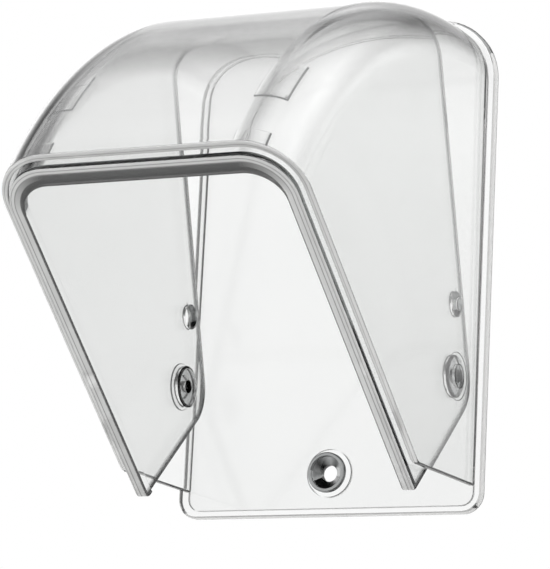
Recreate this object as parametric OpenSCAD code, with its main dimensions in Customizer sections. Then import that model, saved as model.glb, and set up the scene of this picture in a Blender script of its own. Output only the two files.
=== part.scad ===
// Rain cover for a wall doorbell: a clear housing with a curved hood, and a clear
// visor that is nested under the hood and swings down on two pins.
// X is the width, the wall is the plane Y = 0 with the cover towards -Y, and Z is up.
// The origin is the middle of the plate's bottom edge, on the wall. Lengths are in mm.

/* [Back plate] */
// Width of the back plate
plate_w = 64; // [56:1:80]
// Height of the back plate
plate_h = 97; // [92:1:104]
// Thickness of the back plate
plate_t = 2; // [1.6:0.1:3]
// Radius of the plate's two lower corners
plate_low_r = 4; // [2.5:0.5:6]
// How far the plate stands out past the hood's sides, low down
plate_lip = 1.4; // [0.8:0.05:2]

/* [Hood] */
// Wall of the hood and of its wings
hood_wall = 1.3; // [1.1:0.1:1.6]
// Outer radius of the hood's long rounded shoulders
hood_corner_r = 11; // [9:0.5:13]
// Outer radius of the roof's curve, seen from the side
roof_r = 96; // [94:0.2:98]
// Distance from the wall to the centre of the roof's curve
roof_y = 6; // [4.5:0.5:7]
// Draft of the sides, which come closer together away from the roof's centre, in degrees
side_draft = 0.3; // [0:0.1:0.6]
// How far the plate stands out past the hood's roof
roof_lip = 1; // [0.5:0.1:2]
// Height of the wings' lower edge above the plate's lower edge
wing_z = 5.2; // [4.2:0.2:7]
// Reach of the wings' lower edge from the wall
wing_reach = 28.8; // [26:0.1:32]
// Angle of the slanted mouth from the horizontal, in degrees
mouth_rise = 38.7; // [35:0.1:42]
// Radius of the wings' front lower corners
wing_corner_r = 3.5; // [1:0.5:5]

/* [Visor] */
// Gap between the hood and the visor nested under it
visor_gap = 0.6; // [0.55:0.05:0.8]
// Wall of the visor
visor_wall = 1.9; // [1.5:0.1:2.3]
// How far the visor stands out of the hood's mouth
visor_out = 1.5; // [0.4:0.1:2.5]
// Lean of the visor's long back edge from the vertical, in degrees
back_lean = 17.8; // [14:0.2:20]
// Lean of the short lower edge that meets the plate with the visor down, in degrees
stop_lean = 47.6; // [44:0.2:50]
// Radius of the visor's rounded back end, about the pivot
lobe_r = 8.1; // [7.5:0.1:8.2]
// Radius of the tips of the visor's two legs
tip_r = 1.3; // [1:0.1:2.4]
// Extra depth of the rim along the top of the mouth
rim_top = 1.9; // [0.5:0.1:3]
// Extra depth of the rim along the legs
rim_side = 0.6; // [0.3:0.1:1.2]
// Thickness of the rim, square to the mouth
rim_t = 2.2; // [1.4:0.1:3]

/* [Pivots] */
// Distance from the wall to the pivot line
pivot_y = 10.9; // [10.4:0.1:12]
// Height of the pivot line
pivot_z = 24.5; // [22:0.1:27]
// Diameter of a pin's shank, pressed into the wing
shank_d = 4.6; // [3.6:0.1:5.2]
// Clearance between a hub and the visor's hole, on the radius
pin_fit = 0.08; // [0.05:0.01:0.1]
// Diameter of a pin's thick hub, which the visor turns on
hub_d = 7.6; // [6.6:0.1:8]
// How far a hub stands out of the visor's inner face
hub_out = 0.3; // [0.1:0.05:0.6]
// Diameter of a pin's hollow core
pin_core_d = 2.4; // [1.4:0.1:2.8]
// Depth of a pin's hollow core
pin_core_depth = 3.4; // [2:0.1:4]
// Diameter of the low flat seats on the wings, round the shanks
wing_pad_d = 9.2; // [8.6:0.1:10]
// Height of the low flat seats on the wings
wing_pad_h = 0.25; // [0.1:0.05:0.25]

/* [Catch] */
// Distance of the catch above the pivot
catch_up = 13.8; // [12:0.1:16]
// Diameter of the catch's round nub on each wing
nub_d = 2.6; // [2:0.1:3]
// Height of the nub, which stays clear of the visor's side
nub_h = 0.25; // [0.1:0.05:0.25]
// Diameter of the visor's hole that the nub looks into
catch_d = 4.6; // [4:0.1:5]

/* [Spacers] */
// Width of the four low spacers on the visor's shoulders
spacer_w = 5.8; // [4:0.1:6]
// How far the spacers stand proud of the visor
spacer_h = 0.25; // [0.1:0.05:0.25]
// Distance from the middle of the cover to a spacer's inner side
spacer_x = 18; // [15:0.1:19]
// Length of the upper spacers, round the roof's curve
spacer_len = 11.2; // [6:0.2:12]
// Middle of the upper spacers, in degrees forward of the vertical
spacer_turn = 45.6; // [40:0.5:48]
// Length of the lower spacers, which end at the rim
spacer_low_len = 3.6; // [2:0.2:4]
// Middle of the lower spacers, in degrees forward of the vertical
spacer_low_turn = 55.8; // [54:0.1:57]

/* [Screw hole] */
// Height of the screw hole above the plate's lower edge
screw_z = 8.4; // [7:0.1:12]
// Diameter of the screw hole
screw_d = 3.2; // [2.5:0.1:4]
// Diameter of the sunk seat for the screw's head
seat_d = 6.2; // [5.4:0.1:7]
// Depth of the sunk seat
seat_depth = 1.8; // [1:0.1:2.2]
// Diameter of the low boss round the screw hole
screw_boss_d = 7.8; // [7.2:0.1:9]
// Height of the low boss
screw_boss_h = 1; // [0.5:0.1:1.5]

/* [Adhesive pad] */
// Thickness of the adhesive pad, which fills the recess in the plate's back
pad_t = 0.8; // [0.5:0.1:1]
// Width of the plate's border beside the recess
border_side = 1.9; // [1.5:0.1:3]
// Width of the plate's border below the recess
border_low = 1.5; // [1.2:0.1:2.5]
// Gap round the pad's edge
pad_fit = 0.15; // [0.1:0.01:0.3]
// Diameter of the pad's hole round the screw hole
pad_hole_d = 9.4; // [8.6:0.1:11]

/* [Hidden] */
// Overrun of every cut past the face that it opens
over = 1;
// How far a corner's circle stands past its tangent lines, so that they cross cleanly
seam = 0.01;
$fn = 96;

// Hood: the drum that its roof, shoulders and sides are parts of
hood_hw = plate_w / 2 - plate_lip;
roof_z = plate_h - roof_lip - roof_r;
hood_in_hw = hood_hw - hood_wall;

// Visor: a drum about the same centre, inside the hood's
visor_hw = hood_in_hw - visor_gap;
visor_r = roof_r - hood_wall - visor_gap;
visor_corner_r = hood_corner_r - hood_wall - visor_gap;
visor_in_hw = visor_hw - visor_wall;
visor_in_r = visor_r - visor_wall;
visor_in_corner_r = visor_corner_r - visor_wall;

// Side view: each direction and line as [y, z]
mouth_along = [-cos(mouth_rise), sin(mouth_rise)];
mouth_out = [-sin(mouth_rise), -cos(mouth_rise)];
back_normal = [cos(back_lean), sin(back_lean)];
stop_normal = [cos(stop_lean), -sin(stop_lean)];
pivot = [-pivot_y, pivot_z];
catch_at = pivot + [0, catch_up];
draft_share = tan(side_draft);
draft_stretch = 1 / cos(side_draft);
wing_foot = [-wing_reach, wing_z];
visor_foot = wing_foot + visor_out * mouth_out;
seat_hw = hw_at(hood_in_hw, pivot) - wing_pad_h;
front_y = -(roof_y + roof_r + over);
high_z = roof_z + roof_r + over;

// Half width of a drafted side at a place in the side view
function hw_at(hw, at) = hw - draft_share * norm(at - [-roof_y, roof_z]);

// Point where the line through p square to n meets the line through q square to m
function crossing(p, n, q, m) =
    let (d = n[0] * m[1] - n[1] * m[0], a = n * p, b = m * q)
    [(a * m[1] - b * n[1]) / d, (b * n[0] - a * m[0]) / d];

// Point of the line through p square to n at a given y, or at a given z
function at_y(p, n, y) = [y, p[1] - n[0] * (y - p[0]) / n[1]];
function at_z(p, n, z) = [p[0] - n[1] * (z - p[1]) / n[0], z];

// Corner of an outline: its tangent points, and the centre of its round
function unit(v) = v / norm(v);
function tangent_len(a, p, b, r) = r / tan(acos(unit(a - p) * unit(b - p)) / 2);
function round_centre(a, p, b, r) =
    p + unit(unit(a - p) + unit(b - p)) * r / sin(acos(unit(a - p) * unit(b - p)) / 2);

// Convex outline with each corner rounded by its own radius
module round_outline(points, radii) {
    n = len(points);
    polygon([for (i = [0 : n - 1]) let (p = points[i], a = points[(i + n - 1) % n], b = points[(i + 1) % n])
        each radii[i] > 0
            ? [p + unit(a - p) * tangent_len(a, p, b, radii[i]), p + unit(b - p) * tangent_len(a, p, b, radii[i])]
            : [p]]);
    for (i = [0 : n - 1]) {
        if (radii[i] > 0)
            translate(round_centre(points[(i + n - 1) % n], points[i], points[(i + 1) % n], radii[i]))
                circle(r = radii[i] + seam);
    }
}

// Side view drawn as [y, z], given a half width along X
module from_side(hw) {
    rotate([90, 0, 90])
        linear_extrude(height = 2 * hw, center = true)
            children();
}

// Front view drawn as [x, z], given the depth from the wall side y1 to the front y0
module from_front(y0, y1) {
    translate([0, y1, 0])
        rotate([90, 0, 0])
            linear_extrude(height = y1 - y0)
                children();
}

// Cylinder along X through [y, z], from x0 to x1
module across(at, x0, x1, d) {
    translate([x0, at[0], at[1]])
        rotate([0, 90, 0])
            cylinder(d = d, h = x1 - x0);
}

// Children placed for the right side, or mirrored for the left
module outward(side) {
    mirror([side > 0 ? 0 : 1, 0, 0])
        children();
}

// Drum about the roof's centre line, with drafted sides and rounded shoulders
module drum(hw, r, corner_r) {
    core_r = r - corner_r;
    flat_hw = hw - draft_share * core_r - draft_stretch * corner_r;
    side_r = core_r + corner_r * sin(side_draft);
    side_hw = flat_hw + corner_r * cos(side_draft);
    translate([0, -roof_y, roof_z])
        rotate([0, 90, 0])
            rotate_extrude($fn = 256) {
                polygon([[0, -hw], [side_r, -side_hw], [core_r, -flat_hw], [r, -flat_hw],
                         [r, flat_hw], [core_r, flat_hw], [side_r, side_hw], [0, hw]]);
                for (side = [-1, 1])
                    translate([core_r, side * flat_hw])
                        circle(r = corner_r + seam);
            }
}

// Rounded plate outline as [x, z]: margins at the sides, bottom and top, and two radii
module plate_outline(side, low, top, low_r, top_r) {
    hw = plate_w / 2 - side;
    round_outline([[-hw, low], [hw, low], [hw, plate_h - top], [-hw, plate_h - top]],
                  [low_r, low_r, top_r, top_r]);
}

// The part of the drum that the hood keeps, seen from the side
module hood_side() {
    front = at_y(wing_foot, mouth_out, front_y);
    round_outline([wing_foot, [0, wing_z], [0, high_z], [front_y, high_z], front],
                  [wing_corner_r, 0, 0, 0, 0]);
}

// The part of the drum that the visor keeps, seen from the side
module visor_side() {
    tip = crossing(visor_foot, mouth_out, pivot + lobe_r * stop_normal, stop_normal);
    heel = crossing(pivot + lobe_r * stop_normal, stop_normal, pivot + lobe_r * back_normal, back_normal);
    top = at_z(pivot + lobe_r * back_normal, back_normal, high_z);
    front = at_y(visor_foot, mouth_out, front_y);
    round_outline([tip, heel, top, [front_y, high_z], front], [tip_r, lobe_r, 0, 0, 0]);
}

// Wedge of the side view round the roof's centre, by its middle angle and its length on the visor
module roof_wedge(turn, length) {
    half = length / visor_r * 90 / PI;
    reach = visor_r + over;
    polygon([[-roof_y, roof_z],
             [-roof_y - reach * sin(turn - half), roof_z + reach * cos(turn - half)],
             [-roof_y - reach * sin(turn + half), roof_z + reach * cos(turn + half)]]);
}

// Back plate, hood and wings, moulded in one
module housing() {
    color([0.93, 0.95, 0.95, 0.45])
        difference() {
            union() {
                from_front(-plate_t, 0)
                    plate_outline(0, 0, 0, plate_low_r, hood_corner_r + plate_lip);
                difference() {
                    intersection() {
                        drum(hood_hw, roof_r, hood_corner_r);
                        from_side(hood_hw + over) hood_side();
                    }
                    intersection() {
                        drum(hood_in_hw, roof_r - hood_wall, hood_corner_r - hood_wall);
                        from_side(hood_hw) translate([-plate_t, 0]) mirror([1, 0]) square([roof_r + roof_y, plate_h]);
                    }
                }
                for (side = [-1, 1]) {
                    wing_pad(side);
                    catch_nub(side);
                }
                translate([0, 0, screw_z])
                    rotate([90, 0, 0])
                        cylinder(d = screw_boss_d, h = plate_t + screw_boss_h);
            }
            pad_recess();
            screw_bore();
            for (side = [-1, 1])
                outward(side) across(pivot, seat_hw - over, hood_hw + over, shank_d);
        }
}

// Flat round seat on a wing's inner face, where a pin's hub stops
module wing_pad(side) {
    outward(side) across(pivot, seat_hw, seat_hw + wing_pad_h + hood_wall / 2, wing_pad_d);
}

// Catch: a low round nub on a wing's inner face
module catch_nub(side) {
    face = hw_at(hood_in_hw, catch_at);
    outward(side) across(catch_at, face - nub_h, face + hood_wall / 2, nub_d);
}

// Recess in the plate's back for the adhesive pad, with a round land left at the screw hole
module pad_recess() {
    difference() {
        from_front(-pad_t, over)
            plate_outline(border_side, border_low, border_side, plate_low_r - border_low,
                          hood_corner_r + plate_lip - border_side);
        translate([0, 0, screw_z])
            rotate([90, 0, 0])
                cylinder(d = pad_hole_d - 2 * pad_fit, h = pad_t);
    }
}

// Screw hole with the sunk seat at its front
module screw_bore() {
    translate([0, over, screw_z])
        rotate([90, 0, 0])
            cylinder(d = screw_d, h = plate_t + screw_boss_h + 2 * over);
    translate([0, seat_depth - plate_t - screw_boss_h, screw_z])
        rotate([90, 0, 0])
            cylinder(d = seat_d, h = seat_depth + over);
}

// Swinging visor: roof, shoulders, sides with their legs, and the rim round the mouth
module visor() {
    color([0.9, 0.93, 0.94, 0.5])
        difference() {
            union() {
                intersection() {
                    drum(visor_hw, visor_r, visor_corner_r);
                    from_side(visor_hw + over) visor_side();
                }
                for (side = [-1, 1]) {
                    spacer(side, spacer_turn, spacer_len);
                    spacer(side, spacer_low_turn, spacer_low_len);
                }
            }
            intersection() {
                drum(visor_in_hw, visor_in_r, visor_in_corner_r);
                from_side(visor_hw) behind_rim();
            }
            drum(visor_in_hw - rim_side, visor_in_r - rim_top, visor_in_corner_r - rim_side);
            for (side = [-1, 1])
                outward(side) {
                    across(pivot, visor_in_hw - rim_side - over, visor_hw + over, hub_d + 2 * pin_fit);
                    across(catch_at, visor_in_hw - rim_side - over, visor_hw + over, catch_d);
                }
        }
}

// Everything behind the rim, seen from the side: there the visor has its plain wall
module behind_rim() {
    inner = visor_foot - rim_t * mouth_out;
    polygon([at_z(inner, mouth_out, -wing_z), at_y(inner, mouth_out, front_y), [front_y, high_z],
             [roof_y, high_z], [roof_y, -wing_z]]);
}

// Low spacer on a shoulder of the visor
module spacer(side, turn, length) {
    intersection() {
        difference() {
            drum(visor_hw + spacer_h, visor_r + spacer_h, visor_corner_r + spacer_h);
            drum(visor_hw - visor_wall / 2, visor_r - visor_wall / 2, visor_corner_r - visor_wall / 2);
        }
        from_side(visor_hw + over) roof_wedge(turn, length);
        from_side(visor_hw + over) visor_side();
        translate([side > 0 ? spacer_x : -spacer_x - spacer_w, front_y, 0])
            cube([spacer_w, -front_y, high_z]);
    }
}

// Hollow pin: its shank is pressed into a wing, and the visor turns on its hub
module pivot_pin(side) {
    inner_hw = hw_at(visor_in_hw, pivot) - hub_out;
    color([0.86, 0.89, 0.9, 0.6])
        outward(side)
            difference() {
                union() {
                    across(pivot, seat_hw, hw_at(hood_hw, pivot), shank_d);
                    across(pivot, inner_hw, seat_hw, hub_d);
                }
                across(pivot, inner_hw - over, inner_hw + pin_core_depth, pin_core_d);
            }
}

module pivot_pin_left() {
    pivot_pin(-1);
}

module pivot_pin_right() {
    pivot_pin(1);
}

// Clear adhesive pad in the plate's back, flush with the wall
module adhesive_pad() {
    side = border_side + pad_fit;
    low = border_low + pad_fit;
    color([0.88, 0.92, 0.93, 0.7])
        difference() {
            from_front(-pad_t, 0)
                plate_outline(side, low, side, plate_low_r - low, hood_corner_r + plate_lip - side);
            translate([0, over, screw_z])
                rotate([90, 0, 0])
                    cylinder(d = pad_hole_d, h = pad_t + 2 * over);
        }
}

housing();
visor();
pivot_pin_left();
pivot_pin_right();
adhesive_pad();
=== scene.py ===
import math
import bmesh
import bpy
import numpy as np
from mathutils import Matrix, Vector


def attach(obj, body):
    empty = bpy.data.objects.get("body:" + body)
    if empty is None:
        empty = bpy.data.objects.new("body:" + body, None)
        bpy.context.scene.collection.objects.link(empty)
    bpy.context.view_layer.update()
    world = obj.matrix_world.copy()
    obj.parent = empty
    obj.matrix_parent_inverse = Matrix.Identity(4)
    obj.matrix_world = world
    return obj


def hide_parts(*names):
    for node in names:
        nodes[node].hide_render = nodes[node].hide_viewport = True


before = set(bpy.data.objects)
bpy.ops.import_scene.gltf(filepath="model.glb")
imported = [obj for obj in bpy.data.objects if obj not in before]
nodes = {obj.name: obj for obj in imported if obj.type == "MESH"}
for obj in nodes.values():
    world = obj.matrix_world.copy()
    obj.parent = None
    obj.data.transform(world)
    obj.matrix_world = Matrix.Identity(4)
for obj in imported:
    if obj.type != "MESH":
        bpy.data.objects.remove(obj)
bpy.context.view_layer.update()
scene = bpy.context.scene
scene.view_settings.view_transform = "Standard"

# Sizes in millimetres and leans in degrees, the same as in the CAD source; places in the side view are [y, z]
MM = 0.001
PLATE_HALF_WIDTH, PLATE_HEIGHT = 32.0, 97.0
PLATE_LOW_R, PLATE_TOP_R = 4.0, 12.4
ROOF_AXIS = np.array([-6.0, 0.0])
DRAFT = math.radians(0.3)
PIVOT = np.array([-10.9, 24.5])
CATCH = PIVOT + [0.0, 13.8]
WING_REACH, WING_LOW, WING_CORNER_R = 28.8, 5.2, 3.5
MOUTH_RISE, BACK_LEAN, STOP_LEAN = 38.7, 17.8, 47.6
VISOR_OUT, LOBE_R, TIP_R = 1.5, 8.1, 1.3

# Half width, roof radius and shoulder radius of each wall's outer and inner face, and inside the visor's rim
HOOD = (30.6, 96.0, 11.0)
HOOD_IN = (29.3, 94.7, 9.7)
VISOR = (28.7, 94.1, 9.1)
VISOR_IN = (26.8, 92.2, 7.2)
RIM_IN = (26.2, 90.3, 6.6)

# Rounding of the cut edges, the hood's back line inside the plate, and the rim's reach from the mouth
EDGE_R = 0.4
HOOD_BACK = -1.4
RIM_DEEP, RIM_STEP = 2.5, 0.6

# Steps of the meshes
SHOULDER_ROWS, ROOF_ROWS, EDGE_STEPS = 18, 8, 5
MERGE_WITHIN, NO_LENGTH = 1e-6, 1e-7


def heading(degrees):
    """Unit step in the side view, [y, z], turned by so many degrees from +Y towards +Z."""
    a = math.radians(degrees)
    return np.array([math.cos(a), math.sin(a)])


MOUTH_UP = heading(180.0 - MOUTH_RISE)
MOUTH_OUT = heading(270.0 - MOUTH_RISE)
WING_FOOT = np.array([-WING_REACH, WING_LOW])
VISOR_FOOT = WING_FOOT + VISOR_OUT * MOUTH_OUT


# Shells: outlines in the side view
def meet(p, d, rho):
    """Where the line from p along d is rho from the roof's axis: its far crossing with each circle."""
    q = p - ROOF_AXIS
    b = q @ d
    m = -b + np.sqrt(b * b - q @ q + np.asarray(rho) ** 2)
    return p + m[..., None] * d


def turn_at(p, d, rho):
    """Turn about the roof's axis, from straight up to the front, of that crossing."""
    q = meet(p, d, rho) - ROOF_AXIS
    return np.arctan2(-q[..., 0], q[..., 1])


def cross_at(p, d, q, k):
    """Crossing of the line from p along d with the line from q along k."""
    m = ((q - p)[0] * k[1] - (q - p)[1] * k[0]) / (d[0] * k[1] - d[1] * k[0])
    return p + m * d


def corner(p, d, k, r, n):
    """Arc of n steps that rounds the corner at p, from direction d into direction k, by radius r."""
    if n == 0:
        return p[None]
    turn = math.acos(np.clip(d @ k, -1, 1))
    sense = math.copysign(1.0, d[0] * k[1] - d[1] * k[0])
    start = p - r * math.tan(turn / 2) * d
    centre = start + r * sense * np.array([-d[1], d[0]])
    a = np.linspace(0, sense * turn, n + 1)[:, None]
    v = start - centre
    return centre + v * np.cos(a) + np.array([-v[1], v[0]]) * np.sin(a)


def along(a, b, n):
    """Evenly spaced points from a to b, both left out."""
    f = np.linspace(0, 1, n + 1)[1:-1, None]
    return a + (b - a) * f


def share(path):
    """Share of a path's length at each of its points."""
    step = np.linalg.norm(np.diff(path, axis=0), axis=1)
    return np.concatenate([[0], np.cumsum(step)]) / step.sum()


def patch(low, top, back, front, u, t):
    """Sheet between four edges: the two ruled sheets added, less the one through the four corners."""
    u, t = u[:, None, None], t[None, :, None]
    ruled = (1 - u) * low[None] + u * top[None] + (1 - t) * back[:, None] + t * front[:, None]
    flat = (1 - u) * ((1 - t) * low[0] + t * low[-1]) + u * ((1 - t) * top[0] + t * top[-1])
    return ruled - flat


class Outline:
    """A shell's side view: back line, low line and mouth line, and the rounds between them.

    back and low are each a point and a direction, and foot is a point on the mouth line. heel_r and foot_r
    are the rounds' radii, and heel_n and foot_n half their steps. beside says how far each line beside the
    mouth stands from it. wide and high count the cells along the low line and up the mouth.
    """

    def __init__(self, back, low, foot, heel_r, foot_r, heel_n, foot_n, beside, wide, high):
        self.back, self.low, self.foot = back, low, foot
        self.heel_r, self.foot_r, self.heel_n, self.foot_n = heel_r, foot_r, heel_n, foot_n
        self.beside, self.wide, self.high = beside, wide, high

    def sheet(self, inset, drum):
        """Grid over the whole shell, left foot to right foot and back to mouth.

        The outline is drawn in by inset. Side: an even sheet between the four edges, x from the drafted
        drum's half width. Shoulder and roof: circles about the roof's axis, from the back line to the mouth.
        drum holds half width, roof radius and shoulder radius, each one number or one for each column.
        """
        (bp, bd), (lp, ld) = self.back, self.low
        bp = bp - inset * np.array([bd[1], -bd[0]])
        lp = lp - inset * np.array([-ld[1], ld[0]])
        mp = self.foot - inset * MOUTH_OUT
        heel = corner(cross_at(bp, bd, lp, ld), -bd, ld, self.heel_r - inset, 2 * self.heel_n)
        foot = corner(cross_at(lp, ld, mp, MOUTH_UP), ld, MOUTH_UP, self.foot_r - inset, 2 * self.foot_n)
        lines = [self.foot - q * MOUTH_OUT for q in self.beside]
        starts = np.array([cross_at(lp, ld, p, MOUTH_UP) for p in lines])
        low_a = np.concatenate([heel[self.heel_n:], along(heel[-1], starts[0], self.wide), starts[:1]])
        low_b = np.concatenate([starts, foot[:self.foot_n + 1]])
        fa = share(low_a)
        n_a, n_b = len(low_a), len(low_b)
        hw, r, c = (np.broadcast_to(np.asarray(v, float), n_a + n_b - 1) for v in drum)
        gap = np.concatenate([self.beside, np.linspace(self.beside[-1], inset, self.foot_n + 2)[1:]])
        core = r - c
        flat = hw - math.tan(DRAFT) * core - c / math.cos(DRAFT)

        def ring(rho):
            """One row at the distances rho: the turn about the roof's axis at each column, made points."""
            a = turn_at(bp, bd, rho[:n_a]) * (1 - fa) + turn_at(lines[0], MOUTH_UP, rho[:n_a]) * fa
            near = zip(gap, rho[n_a - 1:])
            b = np.array([turn_at(self.foot - g * MOUTH_OUT, MOUTH_UP, distance) for g, distance in near])
            th = np.concatenate([a, b[1:]])
            return ROOF_AXIS + rho[:, None] * np.stack([-np.sin(th), np.cos(th)], 1)

        top = ring(core + c * math.sin(DRAFT))
        rows = self.foot_n + self.high
        front = np.concatenate([foot[self.foot_n:], along(foot[-1], top[-1], rows - self.foot_n), top[-1:]])
        up_back = along(heel[0], top[0], rows - self.heel_n)
        back = np.concatenate([heel[:self.heel_n + 1][::-1], up_back, top[:1]])
        u = share(front)
        mid = starts[0] + (top[n_a - 1] - starts[0]) * u[:, None]
        tb = (self.beside[0] - gap) / (self.beside[0] - inset)
        side = np.concatenate([patch(low_a, top[:n_a], back, mid, u, fa),
                               patch(low_b, top[n_a - 1:], mid, front, u, tb)[:, 1:]], axis=1)
        x = hw - math.tan(DRAFT) * np.linalg.norm(side - ROOF_AXIS, axis=2)
        grid = [np.concatenate([x[..., None], side], 2)]
        for a in np.linspace(DRAFT, math.pi / 2, SHOULDER_ROWS + 1)[1:]:
            shoulder_x = (flat + c * math.cos(a))[:, None]
            grid.append(np.concatenate([shoulder_x, ring(core + c * math.sin(a))], 1)[None])
        for f in np.linspace(1, 0, ROOF_ROWS + 1)[1:]:
            grid.append(np.concatenate([(flat * f)[:, None], ring(r)], 1)[None])
        half = np.concatenate(grid)
        return np.concatenate([half * [-1, 1, 1], half[-2::-1]])


def border(g):
    """The four edges of a grid in one closed round."""
    return np.concatenate([g[0], g[1:, -1], g[-1, -2::-1], g[-2:0:-1, 0]])


def quads(a, b):
    """Faces between two closed rounds of points."""
    return np.stack([a, np.roll(a, -1), np.roll(b, -1), b], 1)


def cells(i):
    """Faces of a grid of points."""
    return np.stack([i[:-1, :-1], i[1:, :-1], i[1:, 1:], i[:-1, 1:]], 2).reshape(-1, 4)


def solid(name, co, faces):
    """A closed mesh from points in millimetres, doubles merged and every face turned outwards."""
    me = bpy.data.meshes.new(name)
    me.from_pydata((np.asarray(co) * MM).tolist(), [], np.asarray(faces).tolist())
    bm = bmesh.new()
    bm.from_mesh(me)
    bmesh.ops.remove_doubles(bm, verts=bm.verts, dist=MERGE_WITHIN)
    bmesh.ops.dissolve_degenerate(bm, dist=NO_LENGTH, edges=bm.edges)
    bmesh.ops.recalc_face_normals(bm, faces=bm.faces)
    bm.to_mesh(me)
    bm.free()
    return me


def shell(name, outline, outer, inner):
    """A moulded wall: outer and inner sheets, joined round their edges by two quarter rounds and a flat."""
    def rounded(drum, way, a):
        """Border at turn a of a quarter round: drawn in by 1 - sin a, moved into the wall by 1 - cos a."""
        depth = EDGE_R * (1 - math.cos(a))
        return border(outline.sheet(EDGE_R * (1 - math.sin(a)), tuple(v + way * depth for v in drum)))

    turns = np.linspace(0, math.pi / 2, EDGE_STEPS + 1)
    outer_grid, inner_grid = outline.sheet(EDGE_R, outer), outline.sheet(EDGE_R, inner)
    index = np.arange(outer_grid.shape[0] * outer_grid.shape[1]).reshape(outer_grid.shape[:2])
    rounds = [rounded(outer, -1, a) for a in turns[1:]] + [rounded(inner, 1, a) for a in turns[:0:-1]]
    co = [outer_grid.reshape(-1, 3), inner_grid.reshape(-1, 3)] + rounds
    n, m = index.size, len(rounds[0])
    rings = [border(index)] + [2 * n + k * m + np.arange(m) for k in range(len(rounds))] + [border(index) + n]
    faces = [cells(index), cells(index + n)[:, ::-1]] + [quads(a, b) for a, b in zip(rings, rings[1:])]
    return solid(name, np.concatenate(co), np.concatenate(faces))


hood_outline = Outline(back=(np.array([HOOD_BACK, 0.0]), heading(90)),
                       low=(np.array([0.0, WING_LOW]), heading(180)),
                       foot=WING_FOOT, heel_r=0.0, foot_r=WING_CORNER_R, heel_n=0, foot_n=5,
                       beside=np.array([4.0, 2.0]), wide=26, high=44)
visor_outline = Outline(back=(PIVOT + LOBE_R * heading(BACK_LEAN), heading(90.0 + BACK_LEAN)),
                        low=(PIVOT + LOBE_R * heading(-STOP_LEAN), heading(270.0 - STOP_LEAN)),
                        foot=VISOR_FOOT, heel_r=LOBE_R, foot_r=TIP_R, heel_n=8, foot_n=5,
                        beside=np.array([3.4, 2.6, 2.5, 2.4, 2.3, 2.2, 2.1, 2.0, 1.9, 1.8]), wide=30, high=40)


def rim_share():
    """How far each column of the visor's inner face belongs to the thicker rim.

    It is a smooth step over the distance from the mouth: 0 from RIM_DEEP on, and 1 where it is RIM_STEP less.
    """
    plain = np.full(visor_outline.heel_n + visor_outline.wide, RIM_DEEP)
    q = np.concatenate([plain, visor_outline.beside, np.zeros(visor_outline.foot_n + 1)])
    s = np.clip((RIM_DEEP - q) / RIM_STEP, 0, 1)
    return s * s * (3 - 2 * s)


RIM = rim_share()
visor_inner = tuple(a + (b - a) * RIM for a, b in zip(VISOR_IN, RIM_IN))
hood_mesh = shell("hood", hood_outline, HOOD, HOOD_IN)
visor_mesh = shell("visor", visor_outline, VISOR, visor_inner)


# Plate and pad: a profile carried round the screw hole
SCREW = np.array([0.0, 8.4])
PLATE_FRONT, BOSS_FRONT, RECESS_FLOOR = -2.0, -3.0, -0.8
HOLE_R, SEAT_R, BOSS_R, RECESS_HOLE_R = 1.6, 3.1, 3.9, 4.55
HOLE_SOFT, SEAT_SOFT, BOSS_SOFT, FRONT_SOFT, BACK_SOFT = 0.1, 0.2, 0.35, 0.6, 0.5
SEAT_CONE = [(1.6, -1.1), (1.66, -1.22), (3.02, -2.3), (3.1, -2.42)]
PAD_HOLE_R, PAD_BACK, PAD_FRONT = 4.7, -0.02, -0.76

# Outlines: how far inside the plate's at the sides, low and at the top, and the low and top radius
OUTLINE = (0.0, 0.0, 0.0, PLATE_LOW_R, PLATE_TOP_R)
RECESS = (1.9, 1.5, 1.9, 2.5, 10.5)
PAD = (2.05, 1.65, 2.05, 2.35, 10.35)

# Points read on each round and line, directions in even degrees, for each round, and the least step
ROUND_POINTS, LINE_POINTS = 60, 400
EVEN_STEP, ROUND_STEPS, LEAST_STEP = 2.5, 12, 0.004


def plate_rounds(kind, inset=0.0):
    """The four rounds of an outline drawn in by inset: each one's centre, radius and first direction."""
    side, low, top, low_r, top_r = kind
    hw, z0, z1 = PLATE_HALF_WIDTH - side - inset, low + inset, PLATE_HEIGHT - top - inset
    low_r, top_r = low_r - inset, top_r - inset
    return (((hw - low_r, z0 + low_r), low_r, -90), ((hw - top_r, z1 - top_r), top_r, 0),
            ((top_r - hw, z1 - top_r), top_r, 90), ((low_r - hw, z0 + low_r), low_r, 180))


def plate_reach(kind, inset, turns):
    """Distance from the screw's centre to an outline drawn in by inset, in each direction.

    The outline is read at close points, and the distance between them is filled in by direction.
    """
    pts = []
    for centre, r, first in plate_rounds(kind, inset):
        t = np.radians(np.linspace(first, first + 90, ROUND_POINTS))
        pts.append(centre + r * np.stack([np.cos(t), np.sin(t)], 1))
    ring = np.concatenate(pts + [pts[0][:1]])
    f = np.linspace(0, 1, LINE_POINTS + 1)[:-1]
    dense = (ring[:-1, None] + (ring[1:] - ring[:-1])[:, None] * f[None, :, None]).reshape(-1, 2) - SCREW
    a = np.unwrap(np.arctan2(dense[:, 1], dense[:, 0]))
    return np.interp(turns, a, np.linalg.norm(dense, axis=1), period=2 * math.pi)


def plate_turns():
    """Directions from the screw's centre: even steps, and closer ones towards the outline's four rounds."""
    a = [np.radians(np.arange(0, 360, EVEN_STEP))]
    for (x, z), r, first in plate_rounds(OUTLINE):
        t = np.radians(np.linspace(0, 90, ROUND_STEPS) + first % 360)
        a.append(np.arctan2(z + r * np.sin(t) - SCREW[1], x + r * np.cos(t)) % (2 * math.pi))
    a = np.sort(np.concatenate(a))
    return a[np.concatenate([[True], np.diff(a) > LEAST_STEP])]


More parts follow.
